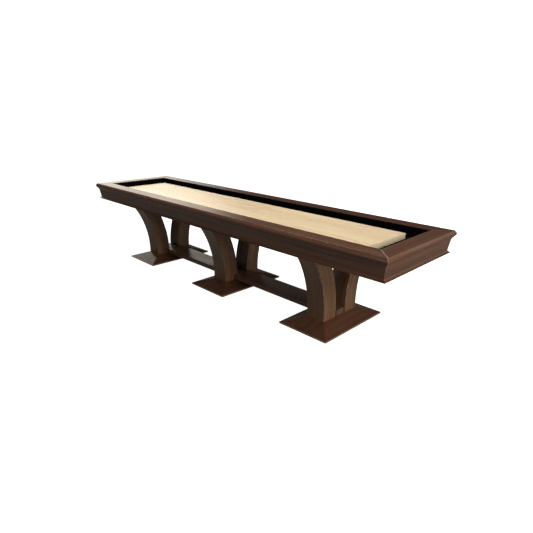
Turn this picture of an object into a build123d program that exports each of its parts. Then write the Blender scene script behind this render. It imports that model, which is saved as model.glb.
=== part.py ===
from build123d import *
import math
import os

# A 12-ft class shuffleboard table. Millimetres, +Z up, +X along the table towards its right end,
# -Y towards its front. The origin is on the floor under the middle of the table.
os.makedirs("parts", exist_ok=True)

# Overall size, measured over the rail's nose
TABLE_LENGTH = 3698.0
TABLE_WIDTH = 932.0
TABLE_HEIGHT = 775.0

# Cap rail. Insets are measured inward from the nose, the outermost line of the table.
RAIL_WIDTH = 132.0
CAP_THICKNESS = 38.0
BAND_INSET = 12.0
BAND_DROP = 17.0
NOSE_TOP_INSET = 1.5
NOSE_WIDEST_DROP = 24.4
NOSE_BOTTOM_DROP = 36.0
NOSE_BOTTOM_INSET = 4.0
COVE_SAGITTA = 1.5
RAIL_EDGE_ROUND = 3.0
BAND_ROUND = 2.0
MITRE_GROOVE = 1.5

# Apron, which leans in towards the bottom
APRON_TOP = 708.0
APRON_BOTTOM = 611.0
APRON_TOP_INSET = 24.5
APRON_LEAN = 11.5 / 81.0
APRON_BACK_INSET = 58.0

# Base moulding, the flared lip along the apron's lower edge
LIP_INSET = 18.5
LIP_EDGE = 3.5
LIP_HEIGHT = 18.0
LIP_SAGITTA = 2.5

# Cradle
BEARER_HEIGHT = 52.5
CROSS_BEARER_WIDTH = 60.0
CROSS_BEARER_X = (-1650.0, -572.5, 572.5, 1650.0)
GUTTER_WALL = 18.0
GUTTER_FLOOR = 28.0
CARPET = 4.0
CARPET_DROP = 3.0

# Playing board
BOARD_LENGTH = 3144.0
BOARD_WIDTH = 498.0
BOARD_THICKNESS = 76.0
BOARD_ROUND = 2.0
BOARD_CORNER = 3.0
BOARD_GAP = 4.0

# Pedestals
PEDESTALS = {"left": -1145.0, "middle": 0.0, "right": 1145.0}
LEG_WIDTH = 165.0
LEG_THICKNESS = 144.5
LEG_INNER = 61.0
LEG_STRAIGHT_TOP = 100.0
LEG_INNER_RADIUS = 997.0
LEG_ROUND = 2.5
PLINTH_LENGTH = 458.0
PLINTH_WIDTH = 733.0
PLINTH_EDGE = 12.0
PLINTH_HEIGHT = 62.0
PLINTH_CORNER = 5.0
PLINTH_SHOULDER = 0.5

# Stretchers
STRETCHER_WIDTH = 193.0
STRETCHER_HEIGHT = 46.0
STRETCHER_ROUND = 3.0
TONGUE_WIDTH = 92.0
TONGUE_SETBACK = 2.0

# Leg bolts, M10 socket caps
BOLT_RADIUS = 5.0
BOLT_LENGTH = 80.0
BOLT_HEAD_RADIUS = 8.0
BOLT_HEAD_HEIGHT = 10.0
BOLT_SOCKET_RADIUS = 4.6
BOLT_SOCKET_DEPTH = 5.0
BOLT_HOLE_RADIUS = 5.1
BOLT_BORE_RADIUS = 9.0
BOLT_SPREAD = 45.0
BOLT_HOLE_SPARE = 2.0
BEARER_BORE_DEPTH = 11.0
PLINTH_BORE_DEPTH = 22.0

# Climatic adjusters under the board
ADJUSTER_X = (-1390.0, -400.0, 400.0, 1390.0)
ROD_RADIUS = 6.0
ROD_LENGTH = 400.0
ROD_DROP = 22.0
ROD_HEXAGON = 19.0
ROD_HEXAGON_LENGTH = 30.0
ROD_CHAMFER = 1.5
RUNNING_CLEARANCE = 0.05
BRACKET_Y = 180.0
BRACKET_WIDTH = 60.0
BRACKET_FLANGE = 46.0
BRACKET_PLATE = 5.0
BRACKET_WEB = 6.0
BRACKET_DROP = 42.0
BRACKET_BOSS_RADIUS = 12.0
BRACKET_BOSS_LENGTH = 16.0
SCREW_RADIUS = 2.5
SCREW_HOLE_RADIUS = 2.6
SCREW_LENGTH = 38.0
SCREW_HEAD_RADIUS = 5.0
SCREW_HEAD_HEIGHT = 3.5
SCREW_SPREAD = 20.0

# Levelling feet
FOOT_Y = 265.0
FOOT_RECESS = 0.5
PAD_RADIUS = 21.0
PAD_HEIGHT = 6.0
PAD_ROUND = 2.0
PAD_SOCKET_DEPTH = 4.2
PIN_RADIUS = 4.0
PIN_LENGTH = 4.0
FLANGE_HEXAGON = 19.0
FLANGE_HEIGHT = 6.0
STUD_RADIUS = 6.0
STUD_LENGTH = 21.5
POCKET_RADIUS = 23.0
POCKET_DEPTH = 13.0
INSERT_RADIUS = 10.0
INSERT_LENGTH = 18.0
STUD_HOLE_RADIUS = 6.5
STUD_HOLE_TOP = 35.5

# Heights that follow from the sizes above
CAP_BOTTOM = TABLE_HEIGHT - CAP_THICKNESS
BEARER_TOP = APRON_BOTTOM + BEARER_HEIGHT
FLOOR_TOP = BEARER_TOP + GUTTER_FLOOR
CARPET_TOP = FLOOR_TOP + CARPET
CARPET_EDGE = TABLE_HEIGHT - CARPET_DROP
ROD_HEIGHT = BEARER_TOP - ROD_DROP
PAD_TOP = FOOT_RECESS + PAD_HEIGHT

# Distances from the middle of the table
GUTTER_HALF_LENGTH = TABLE_LENGTH / 2 - RAIL_WIDTH
GUTTER_HALF_WIDTH = TABLE_WIDTH / 2 - RAIL_WIDTH
FLOOR_EDGE_X = BOARD_LENGTH / 2 + BOARD_GAP
FLOOR_EDGE_Y = BOARD_WIDTH / 2 + BOARD_GAP
BEARER_LENGTH = TABLE_WIDTH - 2 * APRON_BACK_INSET
LEG_OUTER = LEG_INNER + LEG_THICKNESS
LEG_OUTER_RADIUS = LEG_INNER_RADIUS - LEG_THICKNESS
LEG_CENTRE_Y = LEG_INNER + LEG_INNER_RADIUS
LEG_CURVE_RISE = APRON_BOTTOM - LEG_STRAIGHT_TOP


def leg_face_at_top(radius):
    """Distance from the table's middle plane to a leg face at the top of the leg."""
    return LEG_CENTRE_Y - math.sqrt(radius**2 - LEG_CURVE_RISE**2)


TOP_BOLT_Y = (leg_face_at_top(LEG_INNER_RADIUS) + leg_face_at_top(LEG_OUTER_RADIUS)) / 2
FOOT_BOLT_Y = (LEG_INNER + LEG_OUTER) / 2

# Direction along each side of the cabinet, and the direction inward from it
SIDES = {
    "front": (Vector(1, 0, 0), Vector(0, 1, 0)),
    "right_end": (Vector(0, 1, 0), Vector(-1, 0, 0)),
    "back": (Vector(-1, 0, 0), Vector(0, -1, 0)),
    "left_end": (Vector(0, -1, 0), Vector(1, 0, 0)),
}
DEPTHS = {"front": -1, "back": 1}
DOWN = (0, 0, -1)


def write(piece, node):
    """Label a finished piece and write it as one STEP file."""
    piece.part.label = node
    export_step(piece.part, f"parts/{node}.step")


def apron_face(height):
    """Inset of the apron's leaning outer face at a height."""
    return APRON_TOP_INSET + APRON_LEAN * (APRON_TOP - height)


def mitred_run(section, side):
    """One side of a frame: a section of inset and height, run along the side and mitred."""
    along, inward = SIDES[side]
    half_run = abs(along.X) * TABLE_LENGTH / 2 + abs(along.Y) * TABLE_WIDTH / 2
    half_depth = abs(inward.X) * TABLE_LENGTH / 2 + abs(inward.Y) * TABLE_WIDTH / 2
    middle = inward * -half_depth
    with BuildPart() as run:
        with BuildSketch(Plane(origin=middle, x_dir=inward, z_dir=along)):
            add(section.sketch)
        extrude(amount=half_run, both=True)
        for end in (-1, 1):
            corner = middle + along * (end * half_run)
            split(bisect_by=Plane(origin=corner, z_dir=along * end + inward), keep=Keep.BOTTOM)
    return run


# ---------------------------------------------------------------- cap rail
# Flat top, sloped band, round nose, and a cove that carries the nose down to the apron.
band_bottom = (NOSE_TOP_INSET, TABLE_HEIGHT - BAND_DROP)
nose_widest = (0, TABLE_HEIGHT - NOSE_WIDEST_DROP)
nose_bottom = (NOSE_BOTTOM_INSET, TABLE_HEIGHT - NOSE_BOTTOM_DROP)
with BuildSketch() as rail_section:
    with BuildLine():
        Line((BAND_INSET, TABLE_HEIGHT), band_bottom)
        ThreePointArc(band_bottom, nose_widest, nose_bottom)
        SagittaArc(nose_bottom, (APRON_TOP_INSET, APRON_TOP), COVE_SAGITTA)
        Polyline(
            (APRON_TOP_INSET, APRON_TOP),
            (APRON_BACK_INSET, APRON_TOP),
            (APRON_BACK_INSET, CAP_BOTTOM),
            (RAIL_WIDTH, CAP_BOTTOM),
            (RAIL_WIDTH, TABLE_HEIGHT),
            (BAND_INSET, TABLE_HEIGHT),
        )
    make_face()
    top_corners = rail_section.vertices().group_by(Axis.Y)[-1].sort_by(Axis.X)
    fillet(top_corners[0], radius=BAND_ROUND)
    fillet(top_corners[-1], radius=RAIL_EDGE_ROUND)

# A shallow V-groove is cut along each mitre, where two rails meet on top.
for side, (along, inward) in SIDES.items():
    rail = mitred_run(rail_section, side)
    with rail:
        top_edges = rail.faces().sort_by(Axis.Z)[-1].edges()
        mitre_edges = top_edges.filter_by(Axis((0, 0, 0), along), reverse=True)
        chamfer(mitre_edges, length=MITRE_GROOVE)
    write(rail, f"top_rail_{side}")

# ---------------------------------------------------------------- apron
with BuildSketch() as apron_section:
    with BuildLine():
        Polyline(
            (APRON_TOP_INSET, APRON_TOP),
            (apron_face(APRON_BOTTOM), APRON_BOTTOM),
            (APRON_BACK_INSET, APRON_BOTTOM),
            (APRON_BACK_INSET, APRON_TOP),
            close=True,
        )
    make_face()

for side in SIDES:
    write(mitred_run(apron_section, side), f"apron_{side}")

# ---------------------------------------------------------------- base moulding
lip_top = APRON_BOTTOM + LIP_HEIGHT
with BuildSketch() as lip_section:
    with BuildLine():
        SagittaArc((apron_face(lip_top), lip_top), (LIP_INSET, APRON_BOTTOM + LIP_EDGE), LIP_SAGITTA)
        Polyline(
            (LIP_INSET, APRON_BOTTOM + LIP_EDGE),
            (LIP_INSET, APRON_BOTTOM),
            (apron_face(APRON_BOTTOM), APRON_BOTTOM),
            (apron_face(lip_top), lip_top),
        )
    make_face()

for side in SIDES:
    write(mitred_run(lip_section, side), f"base_moulding_{side}")

# ---------------------------------------------------------------- gutter walls
with BuildSketch() as wall_section:
    with BuildLine():
        Polyline(
            (RAIL_WIDTH, BEARER_TOP),
            (RAIL_WIDTH - GUTTER_WALL, BEARER_TOP),
            (RAIL_WIDTH - GUTTER_WALL, CAP_BOTTOM),
            (RAIL_WIDTH, CAP_BOTTOM),
            close=True,
        )
    make_face()

for side in SIDES:
    write(mitred_run(wall_section, side), f"gutter_wall_{side}")

# ---------------------------------------------------------------- gutter floors and carpet
# The long floors run the whole length of the gutter; the end floors fit between them. The carpet
# lies on the floor and is turned up the wall and the rail's inner face, nearly to the rail's top.
for side, sign in DEPTHS.items():
    middle_y = sign * (FLOOR_EDGE_Y + GUTTER_HALF_WIDTH) / 2
    with BuildPart() as gutter_floor:
        with BuildSketch(Plane((0, middle_y, BEARER_TOP))):
            Rectangle(2 * GUTTER_HALF_LENGTH, GUTTER_HALF_WIDTH - FLOOR_EDGE_Y)
        extrude(amount=GUTTER_FLOOR)
    write(gutter_floor, f"gutter_floor_{side}")

    with BuildPart() as carpet:
        with BuildSketch(Plane((0, middle_y, FLOOR_TOP))):
            Rectangle(2 * GUTTER_HALF_LENGTH, GUTTER_HALF_WIDTH - FLOOR_EDGE_Y)
        extrude(amount=CARPET)
        with BuildSketch(Plane((0, sign * (GUTTER_HALF_WIDTH - CARPET / 2), CARPET_TOP))):
            Rectangle(2 * GUTTER_HALF_LENGTH, CARPET)
        extrude(amount=CARPET_EDGE - CARPET_TOP)
    write(carpet, f"gutter_carpet_{side}")

for side, sign in {"left_end": -1, "right_end": 1}.items():
    middle_x = sign * (FLOOR_EDGE_X + GUTTER_HALF_LENGTH) / 2
    with BuildPart() as gutter_floor:
        with BuildSketch(Plane((middle_x, 0, BEARER_TOP))):
            Rectangle(GUTTER_HALF_LENGTH - FLOOR_EDGE_X, 2 * FLOOR_EDGE_Y)
        extrude(amount=GUTTER_FLOOR)
    write(gutter_floor, f"gutter_floor_{side}")

    with BuildPart() as carpet:
        with BuildSketch(Plane((middle_x, 0, FLOOR_TOP))):
            Rectangle(GUTTER_HALF_LENGTH - FLOOR_EDGE_X, 2 * FLOOR_EDGE_Y)
        extrude(amount=CARPET)
        with BuildSketch(Plane((sign * (GUTTER_HALF_LENGTH - CARPET / 2), 0, CARPET_TOP))):
            Rectangle(CARPET, 2 * (GUTTER_HALF_WIDTH - CARPET))
        extrude(amount=CARPET_EDGE - CARPET_TOP)
    write(carpet, f"gutter_carpet_{side}")

# ---------------------------------------------------------------- playing board
bracket_screws_xy = [
    (x + dx, y)
    for x in ADJUSTER_X
    for dx in (-SCREW_SPREAD, SCREW_SPREAD)
    for y in (-BRACKET_Y + BRACKET_FLANGE / 2, BRACKET_Y - BRACKET_FLANGE / 2)
]
with BuildPart() as playing_board:
    with BuildSketch(Plane.XY.offset(BEARER_TOP)):
        RectangleRounded(BOARD_LENGTH, BOARD_WIDTH, BOARD_CORNER)
    extrude(amount=BOARD_THICKNESS)
    fillet(playing_board.faces().sort_by(Axis.Z)[-1].edges(), radius=BOARD_ROUND)
    with Locations(*[Plane((x, y, BEARER_TOP), z_dir=DOWN) for x, y in bracket_screws_xy]):
        Hole(radius=SCREW_HOLE_RADIUS, depth=SCREW_LENGTH)
write(playing_board, "playing_board")

# ---------------------------------------------------------------- bearers
with BuildPart() as cross_bearers:
    with BuildSketch(Plane.XY.offset(APRON_BOTTOM)):
        with Locations(*[(x, 0) for x in CROSS_BEARER_X]):
            Rectangle(CROSS_BEARER_WIDTH, BEARER_LENGTH)
    extrude(amount=BEARER_HEIGHT)
write(cross_bearers, "cross_bearers")


def bolts_xy(x, y):
    """The four bolt places of one pedestal: two for each leg."""
    return [(x + dx, sign * y) for dx in (-BOLT_SPREAD, BOLT_SPREAD) for sign in (-1, 1)]


for name, x in PEDESTALS.items():
    with BuildPart() as bearer:
        with BuildSketch(Plane((x, 0, APRON_BOTTOM))):
            Rectangle(LEG_WIDTH, BEARER_LENGTH)
        extrude(amount=BEARER_HEIGHT)
        with Locations(*[Plane((px, py, BEARER_TOP)) for px, py in bolts_xy(x, TOP_BOLT_Y)]):
            CounterBoreHole(BOLT_HOLE_RADIUS, BOLT_BORE_RADIUS, BEARER_BORE_DEPTH)
    write(bearer, f"pedestal_bearer_{name}")

# ---------------------------------------------------------------- plinths
for name, x in PEDESTALS.items():
    with BuildPart() as plinth:
        with BuildSketch(Plane((x, 0, 0))):
            RectangleRounded(PLINTH_LENGTH, PLINTH_WIDTH, PLINTH_CORNER)
        extrude(amount=PLINTH_EDGE)
        with BuildSketch(Plane((x, 0, PLINTH_EDGE))):
            shoulder = 2 * PLINTH_SHOULDER
            RectangleRounded(PLINTH_LENGTH - shoulder, PLINTH_WIDTH - shoulder, PLINTH_CORNER)
        with BuildSketch(Plane((x, 0, PLINTH_HEIGHT))):
            RectangleRounded(LEG_WIDTH, 2 * LEG_OUTER, LEG_ROUND)
        loft(ruled=True)
        with Locations(*[Plane((px, py, 0), z_dir=DOWN) for px, py in bolts_xy(x, FOOT_BOLT_Y)]):
            CounterBoreHole(BOLT_HOLE_RADIUS, BOLT_BORE_RADIUS, PLINTH_BORE_DEPTH)
        with Locations(*[Plane((x, sign * FOOT_Y, 0), z_dir=DOWN) for sign in (-1, 1)]):
            Hole(radius=POCKET_RADIUS, depth=POCKET_DEPTH)
            Hole(radius=INSERT_RADIUS + RUNNING_CLEARANCE, depth=POCKET_DEPTH + INSERT_LENGTH)
            Hole(radius=STUD_HOLE_RADIUS, depth=STUD_HOLE_TOP)
    write(plinth, f"plinth_{name}")

# ---------------------------------------------------------------- legs
# Each leg is a post that stands straight on the plinth, then sweeps outward along an arc, so that
# it keeps its thickness up to the bearer.
top_hole_depth = BOLT_LENGTH - (BEARER_HEIGHT - BEARER_BORE_DEPTH) + BOLT_HOLE_SPARE
foot_hole_depth = BOLT_LENGTH - (PLINTH_HEIGHT - PLINTH_BORE_DEPTH) + BOLT_HOLE_SPARE
sweep_past_top = math.degrees(math.asin(LEG_CURVE_RISE / LEG_OUTER_RADIUS)) + 1

for name, x in PEDESTALS.items():
    for depth, sign in DEPTHS.items():
        sweep_axis = Axis((x, sign * LEG_CENTRE_Y, LEG_STRAIGHT_TOP), (-sign, 0, 0))
        with BuildPart() as leg:
            with BuildSketch(Plane((x, sign * FOOT_BOLT_Y, LEG_STRAIGHT_TOP))) as leg_section:
                RectangleRounded(LEG_WIDTH, LEG_THICKNESS, LEG_ROUND)
            extrude(amount=PLINTH_HEIGHT - LEG_STRAIGHT_TOP)
            revolve(leg_section.sketch, axis=sweep_axis, revolution_arc=sweep_past_top)
            split(bisect_by=Plane.XY.offset(APRON_BOTTOM), keep=Keep.BOTTOM)
            top_y = sign * TOP_BOLT_Y
            with Locations((x - BOLT_SPREAD, top_y, APRON_BOTTOM), (x + BOLT_SPREAD, top_y, APRON_BOTTOM)):
                Hole(radius=BOLT_HOLE_RADIUS, depth=top_hole_depth)
            foot_y = sign * FOOT_BOLT_Y
            with Locations(
                Plane((x - BOLT_SPREAD, foot_y, PLINTH_HEIGHT), z_dir=DOWN),
                Plane((x + BOLT_SPREAD, foot_y, PLINTH_HEIGHT), z_dir=DOWN),
            ):
                Hole(radius=BOLT_HOLE_RADIUS, depth=foot_hole_depth)
        write(leg, f"leg_{name}_{depth}")

# ---------------------------------------------------------------- stretchers
# A wide bar fills the space between two pedestals. Its tongues pass between the legs: one shows
# at the end pedestal, the other meets its twin inside the middle pedestal.
end_x = PEDESTALS["right"]
bar_start = LEG_WIDTH / 2
bar_end = end_x - LEG_WIDTH / 2
tongue_end = end_x + LEG_WIDTH / 2 - TONGUE_SETBACK
for name, sign in {"left": -1, "right": 1}.items():
    with BuildPart() as stretcher:
        with BuildSketch(Plane.XY.offset(PLINTH_HEIGHT)):
            with Locations((sign * (bar_start + bar_end) / 2, 0)):
                Rectangle(bar_end - bar_start, STRETCHER_WIDTH)
            with Locations((sign * tongue_end / 2, 0)):
                Rectangle(tongue_end, TONGUE_WIDTH)
        extrude(amount=STRETCHER_HEIGHT)
        long_edges = stretcher.edges().filter_by(Axis.X)
        fillet(long_edges.filter_by(lambda edge: edge.length > LEG_WIDTH), radius=STRETCHER_ROUND)
    write(stretcher, f"stretcher_{name}")

# ---------------------------------------------------------------- leg bolts
# Socket cap bolts, head down in the plinths and head up in the bearers.
bolt_seats = []
for x in PEDESTALS.values():
    for px, py in bolts_xy(x, TOP_BOLT_Y):
        bolt_seats.append(Plane((px, py, BEARER_TOP - BEARER_BORE_DEPTH)))
    for px, py in bolts_xy(x, FOOT_BOLT_Y):
        bolt_seats.append(Plane((px, py, PLINTH_BORE_DEPTH), z_dir=DOWN))
with BuildPart() as leg_bolts:
    with Locations(*bolt_seats):
        Cylinder(BOLT_HEAD_RADIUS, BOLT_HEAD_HEIGHT, align=(Align.CENTER, Align.CENTER, Align.MIN))
        Cylinder(BOLT_RADIUS, BOLT_LENGTH, align=(Align.CENTER, Align.CENTER, Align.MAX))
    with BuildSketch(*[seat.offset(BOLT_HEAD_HEIGHT) for seat in bolt_seats]):
        RegularPolygon(BOLT_SOCKET_RADIUS, 6)
    extrude(amount=-BOLT_SOCKET_DEPTH, mode=Mode.SUBTRACT)
write(leg_bolts, "leg_bolts")

# ---------------------------------------------------------------- climatic adjusters
# Angle brackets on the board's underside, with a boss that takes the rod.
webs_xy = [(x, sign * BRACKET_Y) for x in ADJUSTER_X for sign in (-1, 1)]
with BuildPart() as adjuster_brackets:
    with BuildSketch(Plane.XY.offset(BEARER_TOP)):
        with Locations(*[(x, y - math.copysign(BRACKET_FLANGE - BRACKET_WEB, y) / 2) for x, y in webs_xy]):
            Rectangle(BRACKET_WIDTH, BRACKET_FLANGE)
    extrude(amount=-BRACKET_PLATE)
    with BuildSketch(Plane.XY.offset(BEARER_TOP)):
        with Locations(*webs_xy):
            Rectangle(BRACKET_WIDTH, BRACKET_WEB)
    extrude(amount=-BRACKET_DROP)
    with Locations(*[Plane((x, y, ROD_HEIGHT), z_dir=(0, 1, 0)) for x, y in webs_xy]):
        Cylinder(BRACKET_BOSS_RADIUS, BRACKET_BOSS_LENGTH)
        Cylinder(ROD_RADIUS + RUNNING_CLEARANCE, BRACKET_FLANGE, mode=Mode.SUBTRACT)
    with Locations(*[Plane((x, y, BEARER_TOP), z_dir=DOWN) for x, y in bracket_screws_xy]):
        Cylinder(SCREW_HOLE_RADIUS, 2 * BRACKET_PLATE, mode=Mode.SUBTRACT)
write(adjuster_brackets, "adjuster_brackets")

with BuildPart() as bracket_screws:
    with Locations(*[(x, y, BEARER_TOP - BRACKET_PLATE) for x, y in bracket_screws_xy]):
        Cylinder(SCREW_HEAD_RADIUS, SCREW_HEAD_HEIGHT, align=(Align.CENTER, Align.CENTER, Align.MAX))
        Cylinder(SCREW_RADIUS, SCREW_LENGTH, align=(Align.CENTER, Align.CENTER, Align.MIN))
write(bracket_screws, "bracket_screws")

for number, x in enumerate(ADJUSTER_X, start=1):
    with BuildPart() as rod:
        with BuildSketch(Plane(origin=(x, 0, ROD_HEIGHT), z_dir=(0, 1, 0))):
            Circle(ROD_RADIUS)
        extrude(amount=ROD_LENGTH / 2, both=True)
        chamfer(rod.edges().filter_by(GeomType.CIRCLE), length=ROD_CHAMFER)
        with BuildSketch(Plane(origin=(x, 0, ROD_HEIGHT), z_dir=(0, 1, 0))):
            RegularPolygon(ROD_HEXAGON / 2, 6, major_radius=False)
        extrude(amount=ROD_HEXAGON_LENGTH / 2, both=True)
    write(rod, f"adjuster_rod_{number}")

# ---------------------------------------------------------------- levelling feet
# The pad stands on the floor and doesn't turn. The stud turns in the pad's socket and screws
# through the insert, which is fixed in the plinth. All are shown screwed right in.
with BuildPart() as foot_inserts:
    with BuildSketch(Plane.XY.offset(POCKET_DEPTH)):
        with Locations(*[(x, sign * FOOT_Y) for x in PEDESTALS.values() for sign in (-1, 1)]):
            Circle(INSERT_RADIUS)
            Circle(STUD_RADIUS + RUNNING_CLEARANCE, mode=Mode.SUBTRACT)
    extrude(amount=INSERT_LENGTH)
write(foot_inserts, "foot_inserts")

for name, x in PEDESTALS.items():
    for depth, sign in DEPTHS.items():
        y = sign * FOOT_Y
        with BuildPart() as pad:
            with BuildSketch(Plane((x, y, FOOT_RECESS))):
                Circle(PAD_RADIUS)
            extrude(amount=PAD_HEIGHT)
            fillet(pad.edges().group_by(Axis.Z)[-1], radius=PAD_ROUND)
            with Locations((x, y, PAD_TOP)):
                Hole(radius=PIN_RADIUS + RUNNING_CLEARANCE, depth=PAD_SOCKET_DEPTH)
        write(pad, f"foot_pad_{name}_{depth}")

        with BuildPart() as stud:
            with BuildSketch(Plane((x, y, PAD_TOP - PIN_LENGTH))):
                Circle(PIN_RADIUS)
            extrude(amount=PIN_LENGTH)
            with BuildSketch(Plane((x, y, PAD_TOP))):
                RegularPolygon(FLANGE_HEXAGON / 2, 6, major_radius=False)
            extrude(amount=FLANGE_HEIGHT)
            with BuildSketch(Plane((x, y, PAD_TOP + FLANGE_HEIGHT))):
                Circle(STUD_RADIUS)
            extrude(amount=STUD_LENGTH)
            chamfer(stud.edges().group_by(Axis.Z)[-1], length=ROD_CHAMFER)
        write(stud, f"foot_stud_{name}_{depth}")
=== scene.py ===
import math

import bmesh
import bpy
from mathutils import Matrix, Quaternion, Vector, noise


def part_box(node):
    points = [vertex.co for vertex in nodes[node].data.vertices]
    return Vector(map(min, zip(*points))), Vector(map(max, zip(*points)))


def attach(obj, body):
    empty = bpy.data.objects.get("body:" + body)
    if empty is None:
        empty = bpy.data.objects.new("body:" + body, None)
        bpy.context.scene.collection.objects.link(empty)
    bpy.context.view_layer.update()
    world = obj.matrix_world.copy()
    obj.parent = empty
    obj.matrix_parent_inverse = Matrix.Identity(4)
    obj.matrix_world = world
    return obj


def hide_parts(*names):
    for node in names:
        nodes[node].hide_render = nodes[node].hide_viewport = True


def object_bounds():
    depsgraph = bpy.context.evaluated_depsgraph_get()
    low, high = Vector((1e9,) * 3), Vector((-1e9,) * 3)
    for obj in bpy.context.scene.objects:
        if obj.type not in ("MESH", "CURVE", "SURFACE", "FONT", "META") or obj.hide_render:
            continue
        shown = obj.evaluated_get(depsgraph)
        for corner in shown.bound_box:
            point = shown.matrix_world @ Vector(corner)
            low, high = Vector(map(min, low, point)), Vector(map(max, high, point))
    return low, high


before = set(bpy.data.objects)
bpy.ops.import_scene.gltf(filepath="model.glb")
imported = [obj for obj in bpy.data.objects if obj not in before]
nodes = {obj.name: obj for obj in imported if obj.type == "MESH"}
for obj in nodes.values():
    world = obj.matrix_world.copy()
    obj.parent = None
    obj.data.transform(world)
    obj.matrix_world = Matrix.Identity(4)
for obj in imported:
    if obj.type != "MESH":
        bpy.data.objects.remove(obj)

# The looks of a shuffleboard table: dark satin walnut, a laminated maple playing board and black
# gutter carpet. Metres, +X along the table to its right end, -Y towards its front, +Z up.

cad_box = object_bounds()

SIDES = ("front", "back", "left_end", "right_end")
PEDESTALS = ("left", "middle", "right")
DEPTHS = ("front", "back")
ALONG_X = {"front", "back"}


# ---------------------------------------------------------------- objects
def add_object(name, data):
    piece = bpy.data.objects.new(name, data)
    bpy.context.scene.collection.objects.link(piece)
    return piece


def mesh_object(name, mesh, material):
    """Turns a bmesh into an object of one material. The bmesh is freed."""
    data = bpy.data.meshes.new(name)
    mesh.to_mesh(data)
    mesh.free()
    data.materials.append(material)
    return add_object(name, data)


# ---------------------------------------------------------------- camera
CAMERA_PLACE = Vector((3.0334, -2.6325, 1.5594))
CAMERA_HEADING = math.radians(44.906)
CAMERA_TILT = math.radians(19.435)
CAMERA_ROLL = math.radians(0.535)
CAMERA_LENS = 29.81
SENSOR = 36.0
CLIP_END = 200.0


def make_camera():
    camera = add_object("camera", bpy.data.cameras.new("camera"))
    camera.data.lens = CAMERA_LENS
    camera.data.sensor_width = SENSOR
    camera.data.clip_end = CLIP_END
    forward = Vector((
        -math.sin(CAMERA_HEADING) * math.cos(CAMERA_TILT),
        math.cos(CAMERA_HEADING) * math.cos(CAMERA_TILT),
        -math.sin(CAMERA_TILT),
    ))
    camera.location = CAMERA_PLACE
    camera.rotation_mode = "QUATERNION"
    camera.rotation_quaternion = (
        forward.to_track_quat("-Z", "Y") @ Quaternion((0, 0, 1), CAMERA_ROLL)
    )
    bpy.context.scene.camera = camera


# ---------------------------------------------------------------- node helpers
class Tree:
    """Builds a node tree from short calls: each value given is a number, a tuple or a socket."""

    def __init__(self, owner):
        owner.use_nodes = True
        self.tree = owner.node_tree
        self.tree.nodes.clear()

    def add(self, kind, inputs=None, **settings):
        made = self.tree.nodes.new(kind)
        for name, value in settings.items():
            setattr(made, name, value)
        for name, value in (inputs or {}).items():
            self.feed(made.inputs[name], value)
        return made

    def feed(self, socket, value):
        if isinstance(value, bpy.types.NodeSocket):
            self.tree.links.new(value, socket)
        else:
            socket.default_value = value

    def place(self):
        """The point being shaded, in the piece's own frame."""
        return self.add("ShaderNodeTexCoord").outputs["Object"]

    def split(self, vector):
        return self.add("ShaderNodeSeparateXYZ", {"Vector": vector}).outputs

    def join(self, x, y, z):
        return self.add("ShaderNodeCombineXYZ", {0: x, 1: y, 2: z}).outputs[0]

    def math(self, operation, first, second=0.0, third=0.0):
        made = self.add("ShaderNodeMath", {0: first, 1: second, 2: third}, operation=operation)
        return made.outputs[0]

    def times(self, first, second):
        return self.math("MULTIPLY", first, second)

    def vector(self, operation, first, second=(0, 0, 0)):
        made = self.add("ShaderNodeVectorMath", {0: first, 1: second}, operation=operation)
        return made.outputs["Value" if operation in ("DOT_PRODUCT", "LENGTH") else "Vector"]

    def scaled(self, vector, factors):
        return self.vector("MULTIPLY", vector, factors)

    def noise(self, vector, scale=1.0, detail=2.0, roughness=0.5):
        values = {"Vector": vector, "Scale": scale, "Detail": detail, "Roughness": roughness}
        return self.add("ShaderNodeTexNoise", values).outputs["Fac"]

    def ramp(self, value, low, high, to_low=0.0, to_high=1.0):
        """Runs smoothly from to_low, where the value is low, to to_high, where it is high."""
        values = {
            "Value": value,
            "From Min": low,
            "From Max": high,
            "To Min": to_low,
            "To Max": to_high,
        }
        made = self.add("ShaderNodeMapRange", values, interpolation_type="SMOOTHSTEP")
        return made.outputs["Result"]

    def mix(self, factor, first, second, blend="MIX"):
        made = self.add("ShaderNodeMix", data_type="RGBA", blend_type=blend)
        self.feed(made.inputs[0], factor)
        self.feed(made.inputs[6], first)
        self.feed(made.inputs[7], second)
        return made.outputs[2]

    def bump(self, height, distance, strength):
        values = {"Height": height, "Distance": distance, "Strength": strength}
        return self.add("ShaderNodeBump", values).outputs["Normal"]

    def principled(self, **values):
        """The material's one shader. Spaces in its inputs' names are written as underscores."""
        named = {name.replace("_", " "): value for name, value in values.items()}
        shader = self.add("ShaderNodeBsdfPrincipled", named)
        self.add("ShaderNodeOutputMaterial", {"Surface": shader.outputs[0]})


def new_material(name):
    material = bpy.data.materials.new(name)
    return material, Tree(material)


def rgb(red, green, blue):
    return (red, green, blue, 1.0)


# ---------------------------------------------------------------- walnut
LEG_CENTRE_Y = 1.058
LEG_CENTRE_Z = 0.100
LEG_MIDDLE_RADIUS = 0.92475
BOARD_SHIFT = (17.0, 5.3, 3.1)  # how far a board's random number moves its grain
RAIL_CORNER = (cad_box[1].x, cad_box[1].y)
MITRE_HIGHLIGHT_OUTER = 0.00256  # the painted highlight in the groove fades out between these two, measured from the mitre's line
MITRE_HIGHLIGHT_INNER = 0.00192  # measured from the mitre's line
EDGE_HIGHLIGHT_TOP = 0.0140
EDGE_HIGHLIGHT_FULL = 0.0115
RUBBED_EDGE = 0.0022


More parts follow.
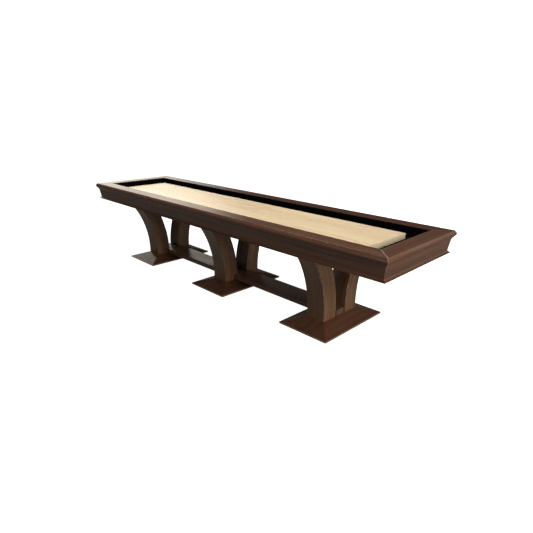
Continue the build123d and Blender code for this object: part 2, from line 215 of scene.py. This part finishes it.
def leg_coordinates(tree, y, z):
    """Length along the arc that a leg follows, and distance from the arc's centre."""
    across = tree.math("SUBTRACT", LEG_CENTRE_Y, tree.math("ABSOLUTE", y))
    height = tree.math("SUBTRACT", z, LEG_CENTRE_Z)
    above = tree.math("MAXIMUM", height, 0.0)
    below = tree.math("MINIMUM", height, 0.0)
    angle = tree.math("ARCTAN2", above, across)
    length = tree.math("MULTIPLY_ADD", angle, LEG_MIDDLE_RADIUS, below)
    squares = tree.math("MULTIPLY_ADD", across, across, tree.times(above, above))
    return length, tree.math("SQRT", squares)


def grain_coordinates(tree, direction):
    """A vector whose X runs along the grain, shifted for each board so that no two match."""
    x, y, z = tree.split(tree.place())
    if direction == "x":
        ordered = (x, y, z)
    elif direction == "y":
        ordered = (y, x, z)
    else:  # "leg"
        length, radius = leg_coordinates(tree, y, z)
        ordered = (length, radius, x)
    chance = tree.add("ShaderNodeObjectInfo").outputs["Random"]
    shift = tree.scaled(tree.join(chance, chance, chance), BOARD_SHIFT)
    return tree.vector("ADD", tree.join(*ordered), shift), chance


def bent_grain(tree, grain, wander_scale, amount):
    """Grain that wanders sideways as it runs."""
    wander = tree.noise(tree.scaled(grain, wander_scale), detail=2.0)
    bend = tree.scaled(tree.join(0.0, wander, wander), (0.0, amount, amount))
    return tree.vector("ADD", grain, bend)


def edge_mask(tree, width):
    """1 along a piece's sharp edges, where handling rubs the finish, and 0 elsewhere."""
    rounded = tree.add("ShaderNodeBevel", {"Radius": width}, samples=4).outputs["Normal"]
    flat = tree.add("ShaderNodeNewGeometry").outputs["Normal"]
    agreement = tree.vector("DOT_PRODUCT", rounded, flat)
    return tree.ramp(agreement, 0.995, 0.86)


def mitre_highlight_mask(tree):
    """1 in the V-groove along each mitre of the cap rail, where a highlight is painted, and 0 elsewhere.
    """
    parts = tree.split(tree.place())
    beyond_x = tree.math("SUBTRACT", tree.math("ABSOLUTE", parts[0]), RAIL_CORNER[0])
    beyond_y = tree.math("SUBTRACT", tree.math("ABSOLUTE", parts[1]), RAIL_CORNER[1])
    off_line = tree.math("ABSOLUTE", tree.math("SUBTRACT", beyond_x, beyond_y))
    return tree.ramp(off_line, MITRE_HIGHLIGHT_OUTER, MITRE_HIGHLIGHT_INNER)


def plinth_edge_highlight_mask(tree):
    """1 on the low upright edge of a plinth, where a patchy highlight is painted, and 0 above."""
    place = tree.place()
    height = tree.split(place)[2]
    patches = tree.noise(tree.scaled(place, (6.0, 6.0, 30.0)), detail=3.0)
    return tree.times(tree.ramp(height, EDGE_HIGHLIGHT_TOP, EDGE_HIGHLIGHT_FULL), tree.ramp(patches, 0.2, 0.6, 0.5, 1.0))


def walnut_figure(tree, grain, chance, tint):
    """The stained wood's color, with its fibre and pores, which also shape its surface."""
    def stain(red, green, blue):
        return rgb(red * tint[0], green * tint[1], blue * tint[2])

    dark = stain(0.067, 0.0300, 0.0172)
    middle = stain(0.096, 0.0445, 0.0255)
    light = stain(0.138, 0.0670, 0.0400)
    pore = stain(0.036, 0.0155, 0.0085)
    bent = bent_grain(tree, grain, (0.9, 5.0, 5.0), 0.075)
    figure = tree.noise(tree.scaled(bent, (0.8, 26.0, 26.0)), detail=3.0, roughness=0.55)
    streaks = tree.noise(tree.scaled(bent, (2.2, 120.0, 120.0)), detail=3.0, roughness=0.6)
    fibre = tree.noise(tree.scaled(grain, (16.0, 900.0, 900.0)), detail=2.0)
    pores = tree.noise(tree.scaled(grain, (38.0, 1500.0, 1500.0)), detail=1.0)
    pore_mask = tree.ramp(pores, 0.66, 0.74)

    color = tree.mix(tree.ramp(figure, 0.34, 0.60), dark, middle)
    color = tree.mix(tree.ramp(streaks, 0.50, 0.78, 0.0, 0.75), color, light)
    color = tree.mix(tree.ramp(fibre, 0.35, 0.70, 0.0, 0.22), color, middle)
    color = tree.mix(tree.times(pore_mask, 0.55), color, pore)
    tone = tree.math("MULTIPLY_ADD", chance, 0.22, 0.89)
    return tree.mix(1.0, color, tree.join(tone, tone, tone), "MULTIPLY"), fibre, pore_mask


def walnut(name, direction, tint=(1.0, 1.0, 1.0), dull=0.0, mask=None):
    """Dark stained walnut under satin lacquer: figure, fibre, open pores and rubbed edges.

    A mask marks where a highlight is painted into the colour and the coat is glossier, and dull makes the
    whole finish rougher.
    """
    material, tree = new_material(name)
    rubbed = rgb(0.23, 0.125, 0.080)
    painted_highlight = rgb(0.30, 0.195, 0.135)
    grain, chance = grain_coordinates(tree, direction)
    color, fibre, pore_mask = walnut_figure(tree, grain, chance, tint)
    worn = edge_mask(tree, RUBBED_EDGE)
    color = tree.mix(tree.times(worn, 0.35), color, rubbed)

    coat = 0.22
    if mask is not None:
        # painted highlight: where the mask is 1 the colour is lightened towards a pale brown and the coat
        # is thickened
        highlight_share = mask(tree)
        color = tree.mix(tree.times(highlight_share, 0.55), color, painted_highlight)
        coat = tree.math("MULTIPLY_ADD", highlight_share, 0.78, coat)

    smudges = tree.noise(tree.scaled(grain, (3.0, 6.0, 6.0)), detail=3.0)
    satin = tree.ramp(smudges, 0.3, 0.7, 0.22 + dull, 0.30 + dull)
    rough = tree.math("ADD", satin, tree.times(pore_mask, 0.18))
    height = tree.math("SUBTRACT", tree.times(fibre, 0.4), pore_mask)
    tree.principled(
        Base_Color=color, Roughness=rough, Normal=tree.bump(height, 0.00008, 0.35),
        Specular_IOR_Level=0.42, Coat_Weight=coat, Coat_Roughness=0.18 + dull, Coat_IOR=1.45,
    )
    return material


# ---------------------------------------------------------------- maple and frame wood
STAVE_WIDTH = 0.0416
STAVE_LENGTH = 0.85
GLUE_LINE = 0.00045
STAVE_OFFSET = 100.0  # keeps the numbers of the rows positive
RING_DENSITY = 2100.0  # growth rings, in radians to the metre


def near_cell_edge(tree, cells, size):
    """1 on the glue line between two cells, each size long, and 0 inside them."""
    off_middle = tree.math("ABSOLUTE", tree.math("SUBTRACT", tree.math("FRACT", cells), 0.5))
    return tree.math("GREATER_THAN", off_middle, 0.5 - GLUE_LINE / size)


def maple_staves(tree, place):
    """Edge-glued staves in random lengths: a tone for each, the seams between rows, and all joints."""
    along, across = tree.split(place)[:2]
    rows = tree.math("ADD", tree.math("DIVIDE", across, STAVE_WIDTH), STAVE_OFFSET)
    row = tree.math("FLOOR", rows)
    chance = tree.add("ShaderNodeTexWhiteNoise", {"W": row}, noise_dimensions="1D").outputs["Value"]
    run = tree.math("MULTIPLY_ADD", chance, 7.0, tree.math("DIVIDE", along, STAVE_LENGTH))
    key = tree.join(row, tree.math("FLOOR", run), 0.0)
    tone = tree.add("ShaderNodeTexWhiteNoise", {"Vector": key}, noise_dimensions="3D").outputs
    seam = near_cell_edge(tree, rows, STAVE_WIDTH)
    butt = near_cell_edge(tree, run, STAVE_LENGTH)
    return tone, seam, tree.math("MAXIMUM", seam, butt)


def maple_face(tree, place, tone):
    """The long grain of the staves, and its fibre."""
    pale = rgb(0.800, 0.665, 0.455)
    warm = rgb(0.690, 0.520, 0.310)
    brown = rgb(0.500, 0.340, 0.185)
    darker_stave = rgb(0.640, 0.470, 0.280)
    grain = tree.vector("ADD", place, tree.scaled(tone["Color"], (9.0, 2.0, 4.0)))
    bent = bent_grain(tree, grain, (1.6, 9.0, 9.0), 0.03)
    figure = tree.noise(tree.scaled(bent, (1.8, 70.0, 70.0)), detail=4.0, roughness=0.6)
    fibre = tree.noise(tree.scaled(grain, (14.0, 700.0, 700.0)), detail=2.0)
    fleck = tree.noise(tree.scaled(grain, (60.0, 380.0, 380.0)), detail=1.0)
    color = tree.mix(tree.ramp(figure, 0.36, 0.72, 0.0, 0.75), pale, warm)
    color = tree.mix(tree.ramp(fibre, 0.45, 0.80, 0.0, 0.30), color, warm)
    color = tree.mix(tree.ramp(fleck, 0.70, 0.80, 0.0, 0.30), color, brown)
    return tree.mix(tree.ramp(tone["Value"], 0.0, 1.0, 0.0, 0.34), color, darker_stave), fibre


def maple_ends(tree, place, tone, seam):
    """End grain: growth rings in each stave, darker because the open ends soak up the finish."""
    early = rgb(0.830, 0.715, 0.520)
    late = rgb(0.700, 0.575, 0.390)
    glue = rgb(0.42, 0.30, 0.18)
    ring_centre = tree.scaled(tone["Color"], (0.0, 0.10, 0.16))
    ring_place = tree.vector("ADD", tree.scaled(place, (0.0, 1.0, 1.0)), ring_centre)
    distance = tree.vector("LENGTH", ring_place)
    wobble = tree.noise(tree.scaled(place, (30.0, 30.0, 30.0)), detail=2.0)
    phase = tree.math("MULTIPLY_ADD", distance, RING_DENSITY, tree.times(wobble, 7.0))
    rings = tree.ramp(tree.math("SINE", phase), -0.2, 1.0, 0.0, 0.6)
    return tree.mix(tree.times(seam, 0.6), tree.mix(rings, early, late), glue)


def maple():
    """Laminated maple: edge-glued staves of their own tone, end grain on the ends, gloss finish."""
    material, tree = new_material("maple_staves")
    glue = rgb(0.36, 0.235, 0.125)
    place = tree.place()
    tone, seam, joint = maple_staves(tree, place)
    color, fibre = maple_face(tree, place, tone)
    color = tree.mix(tree.times(joint, 0.55), color, glue)
    facing = tree.split(tree.add("ShaderNodeNewGeometry").outputs["Normal"])[0]
    end = tree.math("GREATER_THAN", tree.math("ABSOLUTE", facing), 0.8)
    color = tree.mix(end, color, maple_ends(tree, place, tone, seam))

    smudges = tree.noise(tree.scaled(place, (2.0, 9.0, 9.0)), detail=3.0)
    rough = tree.math("MULTIPLY_ADD", end, 0.25, tree.ramp(smudges, 0.3, 0.7, 0.24, 0.33))
    height = tree.math("SUBTRACT", tree.times(fibre, 0.25), joint)
    tree.principled(
        Base_Color=color, Roughness=rough, Normal=tree.bump(height, 0.00008, 0.5),
        Specular_IOR_Level=0.5, Coat_Weight=0.20, Coat_Roughness=0.14,
    )
    return material


def sawn_wood(direction):
    """Unfinished frame wood: pale brown, with saw marks across the grain."""
    material, tree = new_material(f"sawn_wood_along_{direction}")
    brown = rgb(0.300, 0.190, 0.105)
    pale = rgb(0.500, 0.360, 0.215)
    fibre_brown = rgb(0.220, 0.135, 0.072)
    board_tone = rgb(0.360, 0.235, 0.130)
    grain, chance = grain_coordinates(tree, direction)
    figure = tree.noise(tree.scaled(grain, (1.4, 48.0, 48.0)), detail=4.0, roughness=0.6)
    fibre = tree.noise(tree.scaled(grain, (18.0, 700.0, 700.0)), detail=2.0)
    saw = tree.noise(tree.scaled(grain, (420.0, 6.0, 6.0)), detail=1.0)
    color = tree.mix(tree.ramp(figure, 0.32, 0.70), brown, pale)
    color = tree.mix(tree.ramp(fibre, 0.4, 0.8, 0.0, 0.4), color, fibre_brown)
    color = tree.mix(tree.times(chance, 0.25), color, board_tone)
    height = tree.math("ADD", tree.times(fibre, 0.6), saw)
    tree.principled(
        Base_Color=color, Roughness=tree.ramp(fibre, 0.3, 0.7, 0.62, 0.82),
        Normal=tree.bump(height, 0.00025, 0.7),
    )
    return material


# ---------------------------------------------------------------- carpet, metal, plastic
def carpet_pile():
    """Short black pile: a painted highlight on the tufts' tips and painted shade at their roots."""
    material, tree = new_material("carpet_pile")
    tip = rgb(0.0035, 0.0035, 0.0037)
    shaded_root = rgb(0.0008, 0.0008, 0.0009)
    trodden = rgb(0.0024, 0.0024, 0.0026)
    place = tree.place()
    tufts = tree.add("ShaderNodeTexVoronoi", {"Vector": place, "Scale": 520.0}).outputs["Distance"]
    fluff = tree.noise(place, scale=1400.0, detail=2.0)
    shade = tree.noise(place, scale=9.0, detail=3.0)
    # painted highlight at each tuft's tip, fading to painted shade towards its root
    color = tree.mix(tree.ramp(tufts, 0.1, 0.75), tip, shaded_root)
    color = tree.mix(tree.ramp(shade, 0.35, 0.70, 0.0, 0.35), color, trodden)
    height = tree.math("SUBTRACT", tree.times(fluff, 0.5), tufts)
    tree.principled(
        Base_Color=color, Roughness=0.97, Normal=tree.bump(height, 0.0012, 0.9),
        Specular_IOR_Level=0.03,
    )
    return material


def metal(name, color, rough, metallic=1.0):
    """Turned or plated metal: fine drawing lines, clouded plating and rubbed edges."""
    material, tree = new_material(name)
    scratch = 0.05  # how much rougher or smoother a drawing line is
    place = tree.place()
    lines = tree.noise(tree.scaled(place, (900.0, 90.0, 900.0)), detail=2.0)
    cloud = tree.noise(place, scale=55.0, detail=3.0)
    worn = edge_mask(tree, 0.0006)
    darker = rgb(*(part * 0.62 for part in color))
    brighter = rgb(*(min(1.0, part * 1.25 + 0.05) for part in color))
    shade = tree.mix(tree.ramp(cloud, 0.3, 0.7, 0.0, 0.45), rgb(*color), darker)
    shade = tree.mix(tree.times(worn, 0.5), shade, brighter)
    tree.principled(
        Base_Color=shade, Metallic=metallic,
        Roughness=tree.ramp(lines, 0.2, 0.8, rough - scratch, rough + scratch),
        Normal=tree.bump(lines, 0.00004, 0.5),
    )
    return material


def moulded_plastic():
    """Black nylon with the fine spark texture of its mould."""
    material, tree = new_material("moulded_nylon")
    place = tree.place()
    spark = tree.noise(place, scale=2600.0, detail=1.0)
    cloud = tree.noise(place, scale=70.0, detail=2.0)
    color = tree.mix(tree.ramp(cloud, 0.3, 0.7), rgb(0.014, 0.014, 0.015), rgb(0.026, 0.026, 0.028))
    tree.principled(
        Base_Color=color, Roughness=tree.ramp(cloud, 0.3, 0.7, 0.48, 0.62),
        Normal=tree.bump(spark, 0.0001, 0.6),
    )
    return material


# ---------------------------------------------------------------- dressing the CAD nodes
def dress(node, material):
    nodes[node].data.materials.clear()
    nodes[node].data.materials.append(material)


def ease_edges(node, width):
    """Takes the razor edge off a machined piece. The CAD mesh itself stays as it is."""
    piece = nodes[node]
    weld = piece.modifiers.new("weld", "WELD")
    weld.merge_threshold = 0.00001
    clean = piece.modifiers.new("clean", "DECIMATE")
    clean.decimate_type = "DISSOLVE"
    clean.angle_limit = math.radians(0.1)
    bevel = piece.modifiers.new("bevel", "BEVEL")
    bevel.width = width
    bevel.segments = 2
    bevel.limit_method = "ANGLE"
    bevel.angle_limit = math.radians(30)
    normals = piece.modifiers.new("normals", "WEIGHTED_NORMAL")
    normals.keep_sharp = False


def dress_wood():
    rail = {way: walnut(f"rail_walnut_{way}", way, mask=mitre_highlight_mask) for way in ("x", "y")}
    back_rail = walnut("back_rail_walnut", "x", tint=(0.76, 0.66, 0.60), mask=mitre_highlight_mask)
    plain = {way: walnut(f"walnut_{way}", way) for way in ("x", "y")}
    leg_wood = walnut("leg_walnut", "leg", tint=(1.25, 1.42, 1.28))
    plinth_wood = walnut("plinth_walnut", "y", tint=(0.88, 0.81, 0.80), mask=plinth_edge_highlight_mask)
    stretcher_wood = walnut("stretcher_walnut", "x", dull=0.12)
    sawn_along = {way: sawn_wood(way) for way in ("x", "y")}
    for side in SIDES:
        way = "x" if side in ALONG_X else "y"
        dress(f"top_rail_{side}", back_rail if side == "back" else rail[way])
        for member in ("apron", "base_moulding"):
            dress(f"{member}_{side}", plain[way])
        for member in ("gutter_wall", "gutter_floor"):
            dress(f"{member}_{side}", sawn_along[way])
        ease_edges(f"apron_{side}", 0.0006)
        ease_edges(f"base_moulding_{side}", 0.0005)
    for pedestal in PEDESTALS:
        dress(f"plinth_{pedestal}", plinth_wood)
        dress(f"pedestal_bearer_{pedestal}", sawn_along["y"])
        for depth in DEPTHS:
            dress(f"leg_{pedestal}_{depth}", leg_wood)
    for name in ("left", "right"):
        dress(f"stretcher_{name}", stretcher_wood)
    dress("cross_bearers", sawn_along["y"])
    dress("playing_board", maple())


# ---------------------------------------------------------------- threads
THREAD_PITCH = 0.00175
THREAD_DEPTH = 0.00095
THREAD_RADIUS = 0.006
THREAD_CHAMFER = 0.0015
THREAD_STEPS = 6
VALLEY_HALF_SHARE = 0.42  # of the pitch, on each side of the valley's bottom
HEXAGON_FLATS = 0.019


def add_tube(mesh, rings, segments, place):
    """Skins a row of rings, each given as a height and its radius at an angle, and closes both ends."""
    rows = []
    for height, radius_at in rings:
        row = []
        for step in range(segments):
            angle = 2 * math.pi * step / segments
            radius = radius_at(angle, height)
            row.append(mesh.verts.new(place(radius * math.cos(angle), radius * math.sin(angle), height)))
        rows.append(row)
    for lower, upper in zip(rows, rows[1:]):
        for step in range(segments):
            following = (step + 1) % segments
            mesh.faces.new((lower[step], lower[following], upper[following], upper[step]))
    mesh.faces.new(list(reversed(rows[0])))
    mesh.faces.new(rows[-1])


def round_radius(value):
    return lambda angle, height: value


def hexagon_radius(across_flats):
    """Radius of a hexagon's outline at an angle."""
    def radius_at(angle, height):
        sixth = math.pi / 3
        return across_flats / 2 / math.cos((angle + sixth / 2) % sixth - sixth / 2)
    return radius_at


def thread_radius(hand):
    """Radius of a screw thread: a V that winds round the shank once for each pitch."""
    def radius_at(angle, height):
        turn = (height / THREAD_PITCH - hand * angle / (2 * math.pi)) % 1.0
        valley = max(0.0, 1.0 - abs(turn - 0.5) / VALLEY_HALF_SHARE)
        return THREAD_RADIUS - THREAD_DEPTH * valley
    return radius_at


def span(low, high, step):
    """Evenly spaced values from low to high, about a step apart."""
    count = max(1, round((high - low) / step))
    return [low + (high - low) * index / count for index in range(count + 1)]


def thread_rings(low, high, hand=1):
    return [(height, thread_radius(hand)) for height in span(low, high, THREAD_PITCH / THREAD_STEPS)]


def finish_turned_piece(name, rings, segments, place, material, body, replaced):
    mesh = bmesh.new()
    add_tube(mesh, rings, segments, place)
    bmesh.ops.recalc_face_normals(mesh, faces=mesh.faces)
    piece = mesh_object(name, mesh, material)
    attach(piece, body)
    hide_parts(replaced)


def adjuster_rod(number, material):
    """A turnbuckle rod: left and right hand threads, a plain middle and a hexagon to turn it."""
    node = f"adjuster_rod_{number}"
    low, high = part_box(node)
    centre = (low + high) / 2
    half = (high.y - low.y) / 2
    thread_start = 0.105
    runout = 0.001
    relief = round_radius(0.0052)
    tip = round_radius(THREAD_RADIUS - THREAD_CHAMFER)
    hexagon_half = 0.015
    collar = 0.002
    crown = 0.0008
    crown_flats = HEXAGON_FLATS - 0.0012

    def place(across, up, along):
        return centre + Vector((across, along, up))

    def shoulder(sign):
        """Rings from one thread inwards to the hexagon."""
        return [
            (sign * (thread_start - runout), relief),
            (sign * (hexagon_half + collar), relief),
            (sign * hexagon_half, round_radius(THREAD_RADIUS + collar)),
            (sign * (hexagon_half - crown), hexagon_radius(crown_flats)),
            (sign * (hexagon_half - 2 * crown), hexagon_radius(HEXAGON_FLATS)),
        ]

    rings = [(-half, tip)] + thread_rings(-half + THREAD_CHAMFER, -thread_start, -1) + shoulder(-1)
    rings += shoulder(1)[::-1] + thread_rings(thread_start, half - THREAD_CHAMFER) + [(half, tip)]
    finish_turned_piece(f"threaded_rod_{number}", rings, 24, place, material, f"rod_{number}", node)


def foot_stud(pedestal, depth, material):
    """A levelling stud: a pin in the pad's socket, a hexagon flange and a threaded shank."""
    node = f"foot_stud_{pedestal}_{depth}"
    low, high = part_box(node)
    centre = Vector(((low.x + high.x) / 2, (low.y + high.y) / 2, low.z))
    top = high.z - low.z
    pin = 0.004
    pin_chamfer = 0.0005
    flange_low = 0.004
    flange_high = 0.010
    flange_face = round_radius(0.0085)
    flange_flats = hexagon_radius(HEXAGON_FLATS)
    face_rise = 0.0001
    crown_rise = 0.0009
    neck = round_radius(0.0054)
    thread_low = flange_high + 0.0006

    def place(across, along, up):
        return centre + Vector((across, along, up))

    rings = [
        (0.0, round_radius(pin - pin_chamfer)),
        (pin_chamfer, round_radius(pin)),
        (flange_low, round_radius(pin)),
        (flange_low + face_rise, flange_face),
        (flange_low + crown_rise, flange_flats),
        (flange_high - crown_rise, flange_flats),
        (flange_high - face_rise, flange_face),
        (flange_high, neck),
    ]
    rings += thread_rings(thread_low, top - THREAD_CHAMFER)
    rings.append((top, round_radius(THREAD_RADIUS - THREAD_CHAMFER)))
    name = f"threaded_stud_{pedestal}_{depth}"
    finish_turned_piece(name, rings, 30, place, material, f"stud_{pedestal}_{depth}", node)


def dress_hardware():
    zinc = metal("zinc_plate", (0.60, 0.60, 0.58), 0.34)
    bracket_steel = metal("bracket_steel", (0.48, 0.47, 0.45), 0.42)
    black = metal("black_oxide", (0.030, 0.030, 0.034), 0.38, metallic=0.75)
    nylon = moulded_plastic()
    dress("leg_bolts", black)
    dress("adjuster_brackets", bracket_steel)
    dress("bracket_screws", zinc)
    dress("foot_inserts", zinc)
    for number in (1, 2, 3, 4):
        adjuster_rod(number, zinc)
    for pedestal in PEDESTALS:
        for depth in DEPTHS:
            dress(f"foot_pad_{pedestal}_{depth}", nylon)
            foot_stud(pedestal, depth, zinc)


# ---------------------------------------------------------------- gutter carpet
CARPET_STEP = 0.007
PILE = 0.0032
FACE_STAND_OFF = 0.0040  # from the gutter's floor and wall to the pile's face
TOP_MARGIN = 0.0004
CORNER_MARGIN = 0.0042  # where a long strip stops short of the end wall
MITRE_MARGIN = 0.0005  # where an end strip stops short of the long wall
BOARD_GAP = 0.0008  # the sheet bridges the slot beside the board
COVE_RADIUS = 0.006
COVE_STEPS = 4
TUFT_LIFT = 0.00045
TUFTS_PER_METRE = 95.0
WAVE_LIFT = 0.0003
WAVES_PER_METRE = 11.0
TINY = 0.0001


def carpet_profile(floor_width, wall_height):
    """Points (distance out from the board, height) of the carpet's visible face."""
    points = [(distance, 0.0) for distance in span(0.0, floor_width - COVE_RADIUS, CARPET_STEP)]
    for step in range(1, COVE_STEPS + 1):
        angle = math.pi / 2 * step / COVE_STEPS
        points.append((
            floor_width - COVE_RADIUS + COVE_RADIUS * math.sin(angle),
            COVE_RADIUS - COVE_RADIUS * math.cos(angle),
        ))
    points += [(floor_width, height) for height in span(COVE_RADIUS, wall_height, CARPET_STEP)[1:]]
    return points


def carpet_stations(notch, half):
    """Distances along a strip, with rows of points at both ends of the notched floor."""
    stations = span(-notch, notch, CARPET_STEP)
    if notch < half:
        margin = span(notch, half, CARPET_STEP)[1:]
        stations = [-along for along in reversed(margin)] + stations + margin
    return stations


def pile_lift(point):
    """How far tufts and soft waves stand out from the carpet's even face at a point."""
    return (TUFT_LIFT * noise.noise(point * TUFTS_PER_METRE)
            + WAVE_LIFT * noise.noise(point * WAVES_PER_METRE))


def carpet_mesh(profile, stations, notch, place):
    """The carpet's face as a grid. Its floor stops at the notch, and its wall goes on."""
    mesh = bmesh.new()
    rows = []
    for along in stations:
        row = []
        for out, up in profile:
            lift = pile_lift(place(out, along, up))
            on_wall = up > COVE_RADIUS
            raised = place(out - lift, along, up) if on_wall else place(out, along, up + lift)
            row.append(mesh.verts.new(raised))
        rows.append(row)
    for station, first, second in zip(stations, rows, rows[1:]):
        beyond = station < -notch - TINY or station > notch - TINY
        for index in range(len(profile) - 1):
            if not (beyond and profile[index + 1][1] == 0.0):
                mesh.faces.new((first[index], second[index], second[index + 1], first[index + 1]))
    loose = [vertex for vertex in mesh.verts if not vertex.link_faces]
    bmesh.ops.delete(mesh, geom=loose, context="VERTS")
    for face in mesh.faces:
        face.smooth = True
    return mesh


def carpet_strip(side, material):
    """One strip of gutter carpet, laid on the gutter's floor and turned up its wall."""
    node = f"gutter_carpet_{side}"
    low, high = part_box(node)
    board_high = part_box("playing_board")[1]
    sign = -1 if side in ("front", "left_end") else 1
    level = low.z + FACE_STAND_OFF
    if side in ALONG_X:
        inner = board_high.y + BOARD_GAP
        outer = max(abs(low.y), abs(high.y)) - FACE_STAND_OFF
        half = high.x - CORNER_MARGIN
        notch = half

        def place(out, along, up):
            return Vector((along, sign * (inner + out), level + up))
    else:
        inner = board_high.x + BOARD_GAP
        outer = max(abs(low.x), abs(high.x)) - FACE_STAND_OFF
        half = high.y - MITRE_MARGIN
        notch = board_high.y + BOARD_GAP  # past here the long strips cover the floor

        def place(out, along, up):
            return Vector((sign * (inner + out), along, level + up))

    floor_width = outer - inner
    wall_height = high.z - low.z - FACE_STAND_OFF - TOP_MARGIN
    profile = carpet_profile(floor_width, wall_height)
    mesh = carpet_mesh(profile, carpet_stations(notch, half), notch, place)
    piece = mesh_object(f"carpet_{side}", mesh, material)
    thick = piece.modifiers.new("pile", "SOLIDIFY")
    thick.thickness = PILE
    thick.offset = -1.0 if side in ("front", "right_end") else 1.0
    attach(piece, "table")
    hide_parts(node)


# ---------------------------------------------------------------- stage and light
FLOOR_RADIUS = 60.0
DOME_RADIUS = 70.0
BACKDROP_GLOW = 1.05
PANEL_COLOR = rgb(1.0, 0.93, 0.81)
PANEL_STRENGTH = 1.65
PANEL_LEAN = 1.2  # degrees of azimuth for each degree of elevation
STRIP_STRENGTH = 0.45
ROOM_COLOR = rgb(1.0, 0.98, 0.95)
AMBIENT_LOW = 0.14
AMBIENT_HIGH = 0.04
WARM_WHITE = (1.0, 0.96, 0.90)
SOFT_WHITE = (1.0, 0.97, 0.93)


def only_for_camera(surround):
    """The plain white surround is what a viewer sees; the lights and the world light the table."""
    surround.visible_diffuse = False
    surround.visible_glossy = False
    surround.visible_transmission = False
    surround.visible_shadow = False


def make_floor():
    mesh = bmesh.new()
    bmesh.ops.create_circle(mesh, cap_ends=True, segments=96, radius=FLOOR_RADIUS)
    material, tree = new_material("floor_paint")
    diffuse = tree.add("ShaderNodeBsdfDiffuse", {"Color": rgb(0.82, 0.82, 0.82)})
    glow = tree.add("ShaderNodeEmission", {"Color": rgb(1, 1, 1), "Strength": 1.0})
    both = tree.add("ShaderNodeAddShader", {0: diffuse.outputs[0], 1: glow.outputs[0]})
    tree.add("ShaderNodeOutputMaterial", {"Surface": both.outputs[0]})
    floor = mesh_object("floor", mesh, material)
    only_for_camera(floor)


def make_backdrop():
    mesh = bmesh.new()
    bmesh.ops.create_uvsphere(mesh, u_segments=48, v_segments=24, radius=DOME_RADIUS)
    material, tree = new_material("backdrop_white")
    glow = tree.add("ShaderNodeEmission", {"Color": rgb(1, 1, 1), "Strength": BACKDROP_GLOW})
    tree.add("ShaderNodeOutputMaterial", {"Surface": glow.outputs[0]})
    backdrop = mesh_object("backdrop", mesh, material)
    only_for_camera(backdrop)


def edge(tree, angle, dark_at, lit_at):
    """A soft edge between two angles in degrees: 0 as far as dark_at, and 1 from lit_at on."""
    return tree.ramp(angle, math.radians(dark_at), math.radians(lit_at))


def make_world():
    """A dim studio with a tall bright panel past the table's left end and a faint one behind it.

    Azimuth is measured from +Y towards -X. The bright panel's edge leans, so that the long rails
    turn from brown to bright at their own places.
    """
    world = bpy.data.worlds.new("studio")
    bpy.context.scene.world = world
    tree = Tree(world)
    x, y, z = tree.split(tree.add("ShaderNodeTexCoord").outputs["Generated"])
    azimuth = tree.math("ARCTAN2", tree.times(x, -1.0), y)
    elevation = tree.math("ARCSINE", z)
    lean_height = tree.math("MINIMUM", elevation, math.radians(12))
    leaned = tree.math("MULTIPLY_ADD", lean_height, PANEL_LEAN, azimuth)
    panel = tree.times(edge(tree, leaned, 62, 69), edge(tree, azimuth, 104, 90))
    panel = tree.times(panel, edge(tree, elevation, 36.5, 26))
    panel = tree.times(panel, edge(tree, elevation, -3, 1))
    strip = tree.times(edge(tree, azimuth, -60, -50), edge(tree, azimuth, -8, -18))
    strip = tree.times(strip, edge(tree, elevation, 4, 10))
    strip = tree.times(strip, edge(tree, elevation, 36, 28))
    lit = tree.math("MULTIPLY_ADD", strip, STRIP_STRENGTH, tree.times(panel, PANEL_STRENGTH))
    glow = tree.add("ShaderNodeBackground", {"Color": PANEL_COLOR, "Strength": lit})
    dim = tree.ramp(elevation, math.radians(-20), math.radians(4), AMBIENT_LOW, AMBIENT_HIGH)
    room = tree.add("ShaderNodeBackground", {"Color": ROOM_COLOR, "Strength": dim})
    both = tree.add("ShaderNodeAddShader", {0: glow.outputs[0], 1: room.outputs[0]})
    tree.add("ShaderNodeOutputWorld", {"Surface": both.outputs[0]})


def softbox(name, place, target, size, power, color=WARM_WHITE):
    """A rectangular lamp, with its size in metres and its power in watts, aimed at a point."""
    light = bpy.data.lights.new(name, "AREA")
    light.shape = "RECTANGLE"
    light.size, light.size_y = size
    light.energy = power
    light.color = color
    lamp = add_object(name, light)
    lamp.location = place
    lamp.rotation_mode = "QUATERNION"
    lamp.rotation_quaternion = (Vector(target) - Vector(place)).to_track_quat("-Z", "Y")
    return lamp


def make_lights():
    softbox("low_end", (8.2, -0.9, 1.05), target=(0.8, 0.0, 0.4), size=(1.5, 1.2), power=290.0)
    softbox("near_end", (4.6, -1.2, 2.3), target=(1.6, 0.0, 0.7), size=(0.9, 0.9), power=92.0)
    softbox("overhead", (0.0, -0.1, 3.9), target=(0.0, 0.0, 0.0), size=(4.6, 1.6), power=150.0,
            color=SOFT_WHITE)
    softbox("front_fill", (0.6, -5.6, 0.7), target=(0.2, 0.0, 0.4), size=(4.0, 1.0), power=42.0)
    back_fill = softbox("back_fill", (1.6, 6.6, 1.5), target=(0.2, 0.0, 0.4), size=(4.0, 1.6), power=80.0)
    back_fill.visible_glossy = False


bpy.context.scene.view_settings.view_transform = "Standard"
make_camera()
make_floor()
make_backdrop()
make_world()
make_lights()
dress_wood()
dress_hardware()
carpet = carpet_pile()
for gutter_side in SIDES:
    carpet_strip(gutter_side, carpet)
